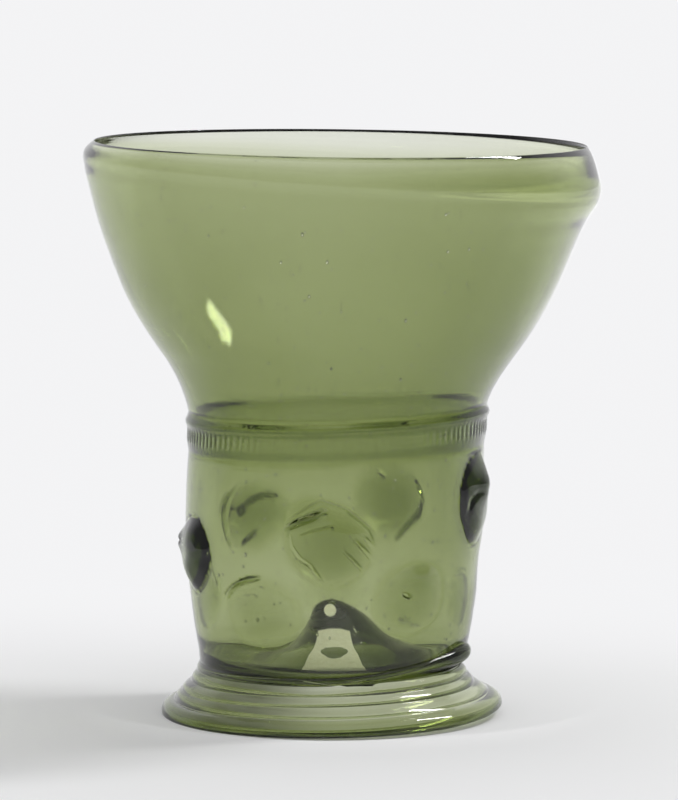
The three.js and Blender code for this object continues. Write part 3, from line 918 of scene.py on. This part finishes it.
class Pad:
    """One prunt's pad on the wall."""

    def __init__(self, name):
        (turn, rise, width, height), lean, tip, self.folds = PRUNTS[name]
        slope, self.pull, pull_turn = lean
        self.crown, tip_turn, tip_out, self.tip_height = tip
        self.centre_z = CORNER_Z + STEM_HEIGHT * rise
        self.turn, self.tilt = radians(turn), radians(slope)
        self.half_width, self.half_height = PRUNT_WIDTH * width / 2, PRUNT_HEIGHT * height / 2
        self.radius = wall_radius(self.centre_z)
        self.cos, self.sin = cos(self.tilt), sin(self.tilt)
        self.point_turn = radians(pull_turn) - self.tilt
        self.tip_x = tip_out * cos(radians(tip_turn))
        self.tip_y = tip_out * sin(radians(tip_turn))
        self.seed = turn / SEED_SPACING

    def noise(self, x, y, grain):
        return noise.noise(Vector((x * grain, y * grain, self.seed)))

    def edge(self, around):
        """The outline's reach as a share of the plain oval."""
        uneven = self.noise(cos(around), sin(around), EDGE_GRAIN)
        pull = self.pull * hill(round_turn(around - self.point_turn), POINT_REACH)
        return 1 + pull + EDGE_UNEVENNESS * uneven

    def spot(self, rho, around):
        """Millimetres round and up from the pad's middle."""
        along = rho * cos(around) * self.half_width * self.edge(around)
        up = rho * sin(around) * self.half_height * self.edge(around)
        return (along * self.cos - up * self.sin,
                along * self.sin + up * self.cos)

    def lift(self, rho, around, u, v):
        """Height over the wall at a place on the pad."""
        x, y = rho * cos(around), rho * sin(around)
        pad = max(0, 1 - rho ** FULLNESS) ** FLAT_EDGE
        tip = self.tip_height * exp(-((x - self.tip_x) ** 2 + (y - self.tip_y) ** 2) / TIP_REACH ** 2)
        lumps = LUMP_SHARE * self.crown * self.noise(x, y, LUMP_GRAIN)
        pressed = (tip - fold_depth(u, v, self.folds)) * smooth(1 - rho, *SOFT_EDGE)
        return max((self.crown + lumps + FUSE) * pad - FUSE + pressed, -FUSE)

    def lift_at(self, angle, z):
        """Height over the wall at a turn and a height."""
        u, v = round_turn(angle - self.turn) * self.radius, z - self.centre_z
        reach = max(self.half_width, self.half_height) * (EDGE_MARGIN + self.pull)
        if abs(u) > reach or abs(v) > reach:
            return -FUSE
        along = (u * self.cos + v * self.sin) / self.half_width
        up = (v * self.cos - u * self.sin) / self.half_height
        around = atan2(up, along)
        rho = hypot(along, up) / self.edge(around)
        return self.lift(rho, around, u, v) if rho < 1 else -FUSE

    def place(self, u, v, lift):
        angle = self.turn + u / self.radius
        return at(outer_radius(angle, self.centre_z + v) + lift, angle, self.centre_z + v)


PADS = {name: Pad(name) for name in PRUNTS}


def highest_lift(angle, z):
    return max([pad.lift_at(angle, z) for pad in PADS.values()] + [collar_lift_at(angle, z)])


def make_prunt(name):
    pad = PADS[name]
    rings, sunk = [], []
    turns = turns_round(PRUNT_SIDES)

    def front(rho, around):
        u, v = pad.spot(rho, around)
        lift = pad.lift(rho, around, u, v)
        return pad.place(u, v, lift), 1 - over_surface(lift)

    def back(rho, around):
        return pad.place(*pad.spot(rho, around), -FUSE - BACK_FUSE * (1 - rho ** 2))

    for i in range(1, PRUNT_RINGS + 1):
        ring = [front(i / PRUNT_RINGS, around) for around in turns]
        rings.append([point for point, _ in ring])
        sunk += [under for _, under in ring]
    for i in range(PRUNT_BACK_RINGS - 1, 0, -1):
        rings.append([back(i / PRUNT_BACK_RINGS, around) for around in turns])
        sunk += [1] * PRUNT_SIDES
    points, faces = capped(rings, front(0, 0)[0], back(0, 0))
    make_piece(f"{name}_pad", points, faces, [name], "prunt_glass", {"sunk": sunk + [0, 1]})


# Foot: the fused thread as one spiral, with its section in shares of its width, and its tail

THREAD_STEPS = 160
START_TURN, TAPER_TURNS = 0.2, 0.16
START_TAPER = (START_TURN - TAPER_TURNS / 12, START_TURN + TAPER_TURNS)
END_TAPER = (THREAD_TURNS - TAPER_TURNS / 2, THREAD_TURNS + TAPER_TURNS / 6)
OUTER_STEPS, INNER_STEPS, SIDE_STEPS = 12, 6, 5
CREST, LAST_CREST, GROOVE = 0.28, 0.42, 0.17
INNER_CREST, INNER_GROOVE = 0.2, 0.17
FREE_EDGE, FREE_BULGE = 0.42, 0.12
THIN_SHARE = 0.6
BULGE_FULLNESS = 0.7
RIM_OVERLAP = 0.95
WELD_DISTANCE = 0.00001
FLARE_SHARES = [(0, 0), (0.17, 0.03), (0.3, 0.08), (0.43, 0.22), (0.56, 0.41), (0.7, 0.63),
                (0.85, 0.87), (1, 1)]
flare_line = spline(FLARE_SHARES, 10)


def thread_width(turn):
    return lerp(THREAD_WIDTH, LAST_THREAD_WIDTH, smooth(turn, DROP_START_TURN, FLAT_TURN))


def thread_middle(turn):
    """Radius and height of the thread's middle."""
    drop = smooth(turn, DROP_START_TURN, FLAT_TURN)
    along = SPACING * (min(turn, FLAT_TURN) - SEAT_TURN) + LAST_DROP * drop
    z = GROUND_HEIGHT + (SLOPE_LENGTH - along) * sin(FLARE)
    radius = lerp(FOOT_TOP_RADIUS, FOOT_RIM_RADIUS, line_at(flare_line, max(along, 0) / SLOPE_LENGTH))
    if turn >= FLAT_TURN:
        above = thread_middle(turn - 1)
        least = (thread_width(turn) + thread_width(turn - 1)) / 2 * RIM_OVERLAP
        radius = max(radius, above.x + sqrt(max(0, least ** 2 - (above.y - z) ** 2)))
    return Vector((radius, z))


def thread_angle(turn):
    return pi / 2 - turn * TURN


def out_of(down):
    """The direction out of the foot's slope."""
    return Vector((-down.y, down.x))


def make_foot():
    count = round((THREAD_TURNS - START_TURN) * THREAD_STEPS) + 1
    turns = [START_TURN + i / THREAD_STEPS for i in range(count)]
    middles, widths, downs = [], [], []
    for turn in turns:
        middle, width = thread_middle(turn), thread_width(turn)
        before = thread_middle(turn - 1) if turn > 1 else middle - Vector((cos(FLARE), -sin(FLARE)))
        down = (middle - before).normalized()
        begin = smooth(turn, *START_TAPER)
        finish = 1 - smooth(turn, *END_TAPER)
        middle = middle + down * (width / 2 * (1 - begin)) - down * (width / 2 * (1 - finish))
        middles.append(middle)
        widths.append(width * begin * finish)
        downs.append(down)
    points, faces = [], []

    def groove(i, deep):
        """Where the turn at step i meets the next turn, out or in by a share of its width."""
        below = i + THREAD_STEPS
        out = out_of(downs[i])
        if below < count:
            thin, thick = sorted((widths[i], widths[below]))
            middle = middles[i].lerp(middles[below], widths[i] / (widths[i] + widths[below]))
            return middle + out * deep * lerp(thick, thin, smooth(thin / thick, 0, THIN_SHARE))
        return middles[i] + downs[i] * widths[i] * FREE_EDGE + out * deep * widths[i]

    def upper_groove(i, deep):
        """Where the turn at step i meets the turn before it."""
        if i >= THREAD_STEPS:
            return groove(i - THREAD_STEPS, deep)
        return middles[i] - downs[i] * widths[i] * FREE_EDGE + out_of(downs[i]) * deep * widths[i]

    def add(flat, turn):
        points.append(at(flat.x, thread_angle(turn), max(0, flat.y)))
        return len(points) - 1

    def edge(turn, first, last, a, b, bulge, steps):
        """Point numbers from a first to a last, with new points bulging between them."""
        flats = [a.lerp(b, k / steps) + bulge * sin(k / steps * pi) ** BULGE_FULLNESS
                 for k in range(1, steps)]
        return [first] + [add(flat, turn) for flat in flats] + [last]

    outer_low, inner_low, rows = {}, {}, []
    for i, turn in enumerate(turns):
        out, down, width = out_of(downs[i]), downs[i], widths[i]
        top_out, top_in = upper_groove(i, GROOVE), upper_groove(i, -INNER_GROOVE)
        low_out, low_in = groove(i, GROOVE), groove(i, -INNER_GROOVE)
        first_out = outer_low[i - THREAD_STEPS] if i >= THREAD_STEPS else add(top_out, turn)
        first_in = inner_low[i - THREAD_STEPS] if i >= THREAD_STEPS else add(top_in, turn)
        outer_low[i], inner_low[i] = add(low_out, turn), add(low_in, turn)
        crest = lerp(CREST, LAST_CREST, smooth(turn, DROP_START_TURN, FLAT_TURN))
        outward = out * (crest - GROOVE) * width
        inward = out * -(INNER_CREST - INNER_GROOVE) * width
        rise = down * -width * (FREE_BULGE if i < THREAD_STEPS else 0)
        sink = down * width * (FREE_BULGE if i + THREAD_STEPS >= count else 0)
        rows.append({
            "outer": edge(turn, first_out, outer_low[i], top_out, low_out, outward, OUTER_STEPS),
            "inner": edge(turn, first_in, inner_low[i], top_in, low_in, inward, INNER_STEPS)[::-1],
            "upper": edge(turn, first_in, first_out, top_in, top_out, rise, SIDE_STEPS),
            "lower": edge(turn, outer_low[i], inner_low[i], low_out, low_in, sink, SIDE_STEPS)})

    last = count - 1
    strips = [("outer", 0, last), ("inner", 0, last), ("upper", 0, THREAD_STEPS),
              ("lower", last - THREAD_STEPS, last)]
    for name, start, end in strips:
        for i in range(start, end):
            here, there = rows[i][name], rows[i + 1][name]
            for k in range(len(here) - 1):
                faces.append((here[k], here[k + 1], there[k + 1], there[k]))

    def cap(row, at_start):
        loop = row["outer"] + row["lower"][1:] + row["inner"][1:] + row["upper"][1:-1]
        points.append(sum((points[k] for k in loop), Vector()) / len(loop))
        for k, corner in enumerate(loop):
            pair = (corner, loop[(k + 1) % len(loop)])
            faces.append((*(pair if at_start else pair[::-1]), len(points) - 1))

    # The start cap's lower edge is the upper edge of the row one turn on, and the other way round at the end.
    rows[0]["lower"] = rows[THREAD_STEPS]["upper"][::-1]
    rows[-1]["upper"] = rows[last - THREAD_STEPS]["lower"][::-1]
    cap(rows[0], False)
    cap(rows[-1], True)
    used = sorted({k for face in faces for k in face})
    renumbered = {old: new for new, old in enumerate(used)}
    points = [points[k] for k in used]
    faces = [tuple(renumbered[k] for k in face) for face in faces]
    piece = make_piece("foot_spiral", points, faces, ["foot_coil"], "foot_glass")
    piece.modifiers.new("even_sides", "WELD").merge_threshold = WELD_DISTANCE


def make_tail():
    """The thread's lifted free end, thin where it joins the spiral."""
    steps, sides, rounded_steps, last_turn = 60, 20, 4, 0.5
    fall, narrowing = (TAIL_TURN - 0.04, SEAT_TURN + 0.02), (TAIL_TURN, 0.16)
    free_half, joined_half, thinning = 1.85, 0.75, 0.9
    deep, tall, off_wall, sunk_in = 0.85, 1.1, 0.7, FUSE * 1.6
    rings = []
    for i in range(steps + 1):
        turn = lerp(TAIL_TURN, last_turn, i / steps)
        middle = thread_middle(turn)
        half = lerp(free_half, joined_half, smooth(turn, *narrowing))
        half *= sqrt(min(1, (i + 0.5) / rounded_steps))
        half *= 1 - smooth(turn, SEAT_TURN, last_turn) * thinning
        z = middle.y + TAIL_RISE * (1 - smooth(turn, *fall))
        radius = max(middle.x, wall_radius(z) + half * off_wall - sunk_in)
        rings.append([at(radius + half * deep * cos(around), thread_angle(turn),
                         z + half * tall * sin(around)) for around in turns_round(sides)])
    points, faces = capped(rings, *[sum(ring, Vector()) / sides for ring in (rings[0], rings[-1])])
    make_piece("foot_tail", points, faces, ["foot_coil"], "foot_glass")


# Pontil scar

SCAR_RADIUS, SCAR_THICKNESS = 2.1, 0.8


def make_scar():
    """The rough disc of glass that the pontil rod left under the hollow's top."""
    sides, top_rings, bottom_rings = 72, 10, 12
    grain, ring_grain, rough_out, rough_down = 3, 5, 0.12, 0.5
    dish = 0.3
    top_z = hollow_top(SCAR_RADIUS) + FUSE
    middle = Vector((KICK_LEAN, 0, 0))

    def ring(out, down, rough_share):
        points = []
        for around in turns_round(sides):
            place = Vector((cos(around) * grain, sin(around) * grain, out * ring_grain))
            rough = noise.noise(place) * rough_share
            points.append(at(SCAR_RADIUS * out * (1 + rough_out * rough), around,
                             top_z - SCAR_THICKNESS * (down + rough_down * rough)) + middle)
        return points

    rings = [ring(i / top_rings, 0, 0) for i in range(1, top_rings + 1)]
    rings += [ring(1.02, 0.35, 0.5), ring(0.98, 0.75, 1)]
    outs = [i / bottom_rings for i in range(bottom_rings - 1, 0, -1)]
    rings += [ring(out, 1 - dish * (1 - out), 1) for out in outs]
    bottom_z = top_z - SCAR_THICKNESS * (1 - dish)
    points, faces = capped(rings, *[middle + Vector((0, 0, z)) for z in (top_z, bottom_z)])
    make_piece("pontil_mark", points, faces, ["pontil_scar"], "scar_glass")


make_vessel()
make_collar()
for prunt_name in PRUNTS:
    make_prunt(prunt_name)
make_foot()
make_tail()
make_scar()

# Stage: a pale floor that brightens into a backdrop, and a dim room in front. The light changes
# between an edge's two limits: metres on the floor, and a part of the direction in the room.

PAPER_COLOUR = (1.0, 1.0, 1.012, 1)
FLOOR_COLOUR = (0.9, 0.9, 0.905, 1)
FLOOR_HALF = 9.0
PAPER_LIGHT = 0.9
LEFT_PAPER_LIGHT, RIGHT_PAPER_LIGHT = 1.0, 1.25
PAPER_GLOW_SHARE = 0.12
THROUGH_SHARE, LEFT_THROUGH_SHARE = 0.62, 0.0
LEFT_EDGE, RIGHT_EDGE = (-0.14, -0.08), (0.08, 0.14)
THROUGH_EDGE = (-0.024, 0.002)
GLOW_EDGE = (0.03, 0.16)
TOP_LIGHT, DIM_LIGHT = 0.84, 0.31
BACKDROP_EDGE, BACKDROP_TOP_EDGE, TOP_LIGHT_EDGE = (-0.1, 0.6), (0.5, 0.8), (0.45, 0.85)


def make_floor():
    """Paper that keeps the shadow, glows behind the beaker and is white through the glass."""
    mesh = bpy.data.meshes.new("floor")
    corners = [(-1, -1), (1, -1), (1, 1), (-1, 1)]
    mesh.from_pydata([(x * FLOOR_HALF, y * FLOOR_HALF, 0) for x, y in corners], [], [(0, 1, 2, 3)])
    floor = add_object("floor", mesh)
    material = bpy.data.materials.new("paper")
    mesh.materials.append(material)
    graph = Graph(material, cleared=True)
    calc, times, ramp = graph.calc, graph.times, graph.ramp
    x, y, _ = graph.split(graph.place())
    ray = graph.add("LightPath").outputs
    side_light = calc("MAXIMUM", ramp(x, *LEFT_EDGE, LEFT_PAPER_LIGHT, PAPER_LIGHT),
                      ramp(x, *RIGHT_EDGE, PAPER_LIGHT, RIGHT_PAPER_LIGHT))
    extra = times(calc("SUBTRACT", side_light, PAPER_LIGHT), ramp(ray["Is Camera Ray"], 0.0, 1.0, 1.0, 0.0))
    clear_share = ramp(x, *THROUGH_EDGE, LEFT_THROUGH_SHARE, THROUGH_SHARE)
    glow_share = calc("MAXIMUM", ramp(y, *GLOW_EDGE, PAPER_GLOW_SHARE, 1.0),
                      times(ray["Is Transmission Ray"], clear_share))
    paper = graph.add("BsdfDiffuse", Color=FLOOR_COLOUR).outputs["BSDF"]
    glow = graph.add("Emission", Color=PAPER_COLOUR, Strength=calc("ADD", extra, PAPER_LIGHT))
    graph.add("OutputMaterial", Surface=graph.mixed(glow_share, paper, glow.outputs["Emission"]))


def make_world():
    """White behind and to the camera, soft light overhead and a dim room in front."""
    scene.world = bpy.data.worlds.new("studio")
    graph = Graph(scene.world, cleared=True)
    _, y, z = graph.split(graph.place("Generated"))
    backdrop = graph.times(graph.ramp(y, *BACKDROP_EDGE, 0.0, PAPER_LIGHT),
                           graph.ramp(z, *BACKDROP_TOP_EDGE, 1.0, 0.0))
    light = graph.calc("MAXIMUM", backdrop, graph.ramp(z, *TOP_LIGHT_EDGE, 0.0, TOP_LIGHT))
    room = graph.add("Background", Color=PAPER_COLOUR, Strength=graph.calc("MAXIMUM", light, DIM_LIGHT))
    white = graph.add("Background", Color=PAPER_COLOUR, Strength=PAPER_LIGHT)
    seen = graph.add("LightPath").outputs["Is Camera Ray"]
    surface = graph.mixed(seen, room.outputs["Background"], white.outputs["Background"])
    graph.add("OutputWorld", Surface=surface)


def add_lamp(name, kind, power, place, aim):
    """A lamp at a place, aimed at a point, that the camera doesn't see."""
    data = bpy.data.lights.new(name, kind)
    data.energy = power
    lamp = add_object(name, data)
    lamp.location = place
    lamp.rotation_euler = (aim - place).to_track_quat("-Z", "Y").to_euler()
    lamp.visible_camera = False
    return lamp


make_floor()
make_world()

# A soft rectangular lamp, a metre from the beaker's middle
middle = Vector((0, 0, RIM_Z / 2 * MM))
key = add_lamp("key", "AREA", 4.0, middle + Vector((0.6, 0.18, 0.72)).normalized(), middle)
key.data.shape = "RECTANGLE"
key.data.size, key.data.size_y = 0.13, 0.36

# A narrow soft lamp that shines down through the mouth and glints nowhere
MOUTH_LAMP_Z = 0.9
mouth = add_lamp("mouth", "SPOT", 28.0, Vector((0, -0.16, MOUTH_LAMP_Z)), Vector((0, 0, TIP_Z * 0.7 * MM)))
mouth.data.shadow_soft_size = 0.03
mouth.data.spot_size = 2 * atan(STEM_FOOT_RADIUS * MM / MOUTH_LAMP_Z)
mouth.data.spot_blend = 0.4
mouth.visible_glossy = False
mouth.visible_transmission = False

# Camera, at the photograph's place and angle
FOCAL_PIXELS, IMAGE_HEIGHT, SENSOR = 5163, 800, 36
CAMERA_RIGHT, CAMERA_BACK, CAMERA_UP, AIM_UP = -0.29, 985.0, 166.1, 60.4
camera_data = bpy.data.cameras.new("camera")
camera_data.sensor_width = SENSOR
camera_data.lens = SENSOR * FOCAL_PIXELS / IMAGE_HEIGHT
camera_data.clip_end = 50
camera = add_object("camera", camera_data)
camera.location = (CAMERA_RIGHT * MM, -CAMERA_BACK * MM, CAMERA_UP * MM)
camera.rotation_euler = (pi / 2 - atan((CAMERA_UP - AIM_UP) / CAMERA_BACK), 0, 0)
scene.camera = camera

# Light through many walls of glass
scene.view_settings.view_transform = "Standard"
scene.cycles.max_bounces = 32
scene.cycles.transmission_bounces = 32
scene.cycles.glossy_bounces = 12
